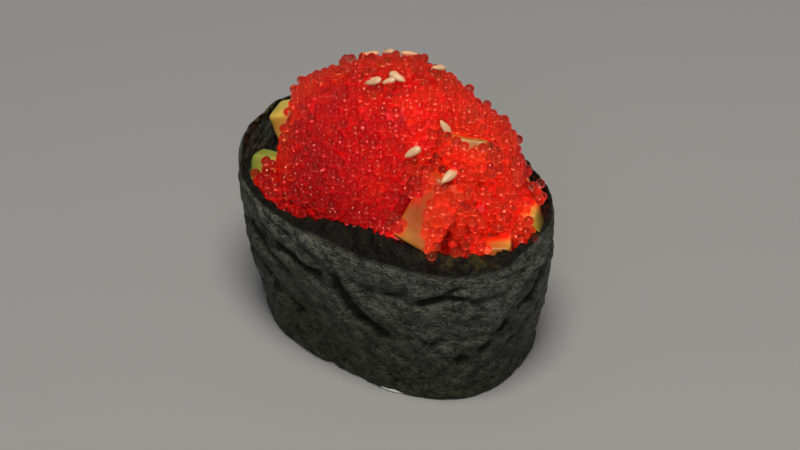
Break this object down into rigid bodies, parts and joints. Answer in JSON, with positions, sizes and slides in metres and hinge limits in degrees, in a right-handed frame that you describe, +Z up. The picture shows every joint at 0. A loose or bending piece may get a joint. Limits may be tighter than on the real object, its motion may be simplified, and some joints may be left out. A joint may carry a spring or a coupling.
{
  "type": "gunkan sushi",
  "caption": "Gunkan sushi: a pressed rice block in an oval nori band that stands above it, heaped with red flying-fish roe and diced avocado.",
  "frame": {"origin": "middle of the foot, on the surface that the piece stands on", "axes": "+X along the long axis, to the end with the larger roe lobe; +Z up; the front long side faces -Y"},
  "size_m": [0.0617, 0.0406, 0.0554],
  "materials": {
    "nori": "dry, fibrous and faintly glossy, dark green-black",
    "rice": "moist, off-white, slightly translucent grains",
    "roe": "wet, glossy, translucent orange-red eggs",
    "avocado": "smooth, moist, yellow shading to green",
    "sesame": "dry, smooth, pale toasted seed"
  },
  "bodies": {
    "root": {"nori": "nori", "rice": "rice", "roe": "roe", "avocado_left_end": "avocado", "avocado_back_left": "avocado", "avocado_front": "avocado", "avocado_right_end": "avocado", "avocado_right_front": "avocado", "avocado_upper_right": "avocado", "avocado_right_rear": "avocado", "avocado_rear": "avocado", "avocado_rear_left": "avocado"}
  },
  "joints": []
}
